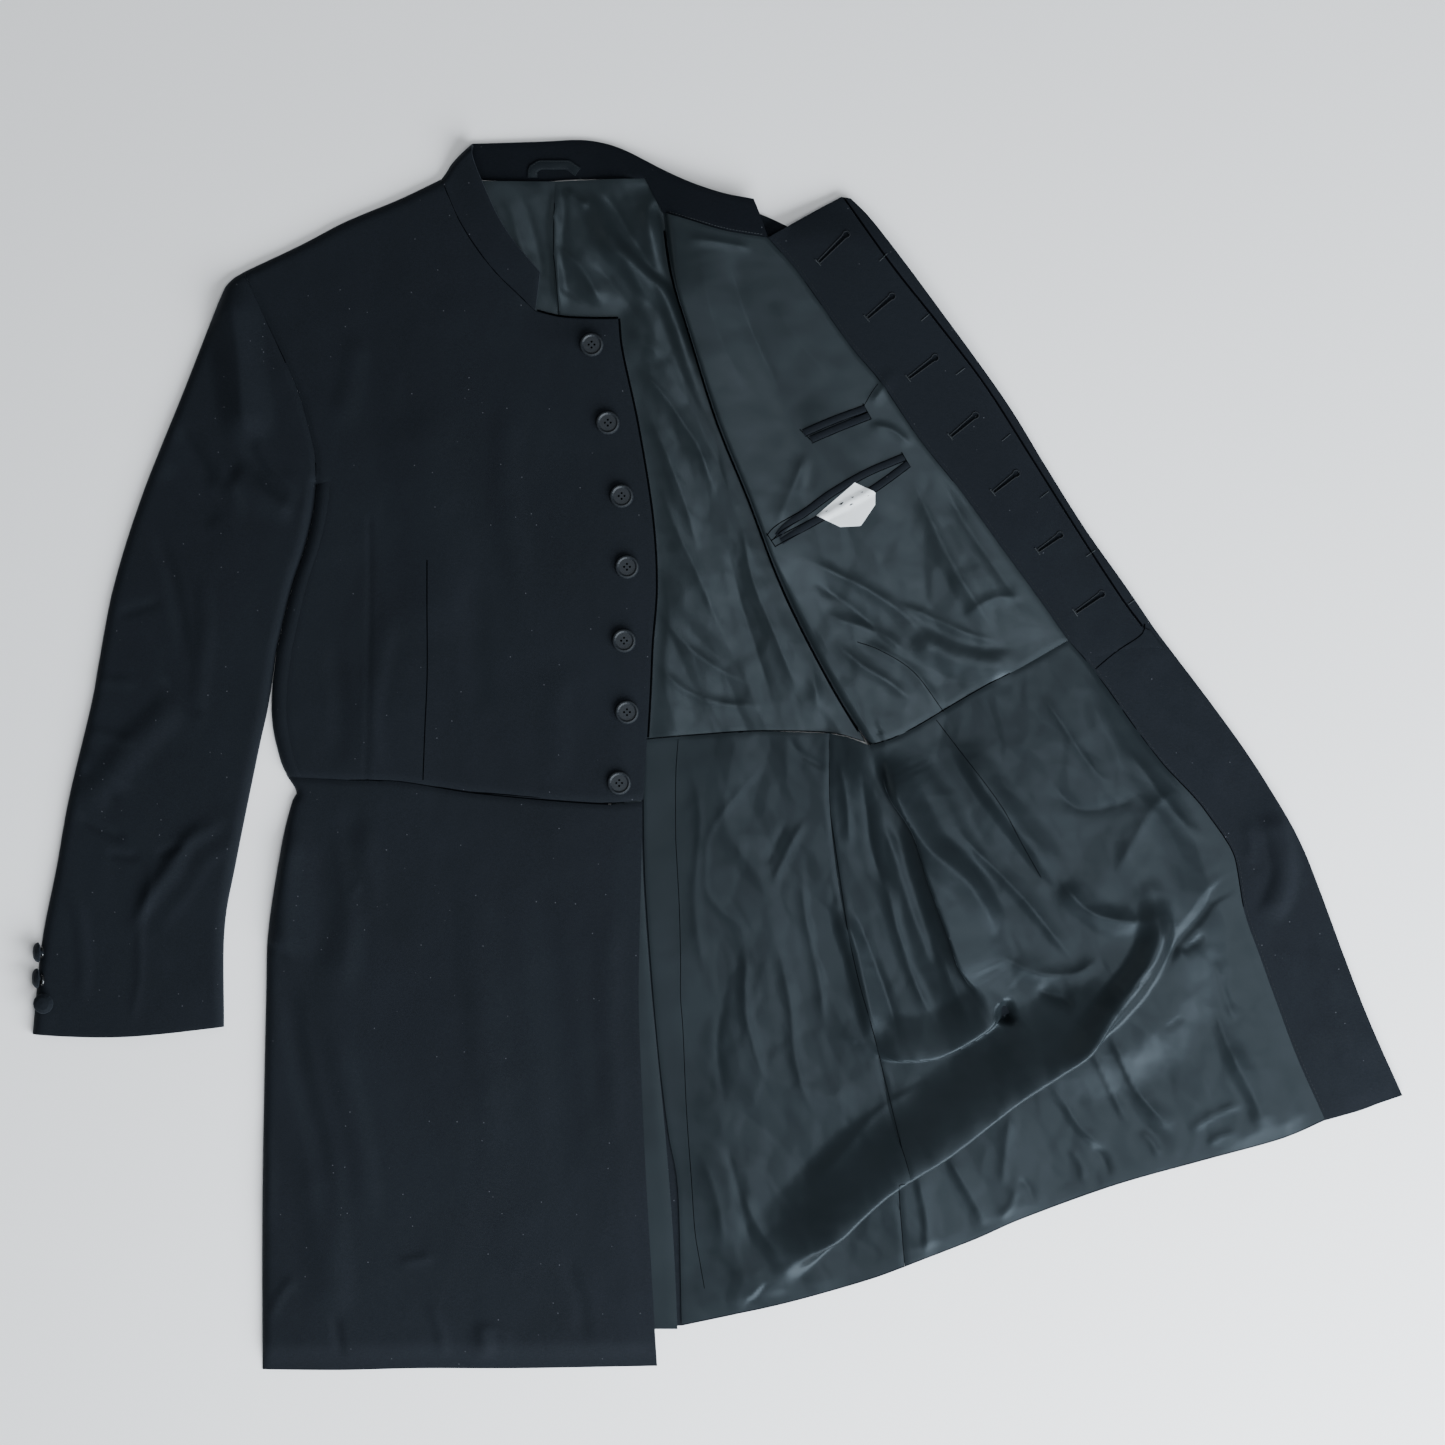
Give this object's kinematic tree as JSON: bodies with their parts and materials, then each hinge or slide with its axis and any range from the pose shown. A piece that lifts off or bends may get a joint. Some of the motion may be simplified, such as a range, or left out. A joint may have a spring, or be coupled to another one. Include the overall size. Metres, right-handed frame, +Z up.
{
  "type": "frock coat",
  "caption": "Long black wool frock coat with a stand collar, laid flat with one front thrown open over its satin lining, inner pockets and buttonhole strip.",
  "frame": {"origin": "middle of the laid-out coat's box, on the surface that it lies on", "axes": "+X to the wearer's left across the coat, +Y from hem to collar, +Z up from the surface"},
  "size_m": [1.1426, 1.0258, 0.0299],
  "materials": {
    "wool": "black wool twill with a slight nap",
    "lining": "dark grey-green satin with a soft sheen",
    "buttons": "satin black, horn-like",
    "label": "plain woven tape"
  },
  "bodies": {
    "root": {"back_left": "wool", "back_lining_left": "lining", "back_lining_right": "lining", "back_right": "wool", "back_skirt_left": "wool", "back_skirt_lining": "lining", "back_skirt_right": "wool", "collar_back": "wool", "collar_right": "wool", "front_button_1": "buttons", "front_button_2": "buttons", "front_button_3": "buttons", "front_button_4": "buttons", "front_button_5": "buttons", "front_button_6": "buttons", "front_button_7": "buttons", "hanger_loop": "lining", "left_facing": "wool", "left_fly": "wool", "left_front": "wool", "left_front_lining": "lining", "left_front_skirt": "wool", "left_skirt_lining": "lining", "left_sleeve_under": "wool", "left_sleeve_upper": "wool", "lower_pocket_lip_bottom": "wool", "lower_pocket_lip_top": "wool", "right_cuff_button_1": "wool", "right_cuff_button_2": "wool", "right_cuff_button_3": "wool", "right_front": "wool", "right_front_skirt": "wool", "right_side_body": "wool", "right_sleeve_under": "wool", "right_sleeve_upper": "wool", "size_label": "label", "upper_pocket_lip_bottom": "wool", "upper_pocket_lip_top": "wool", "vent_underlay": "lining"}
  },
  "joints": []
}
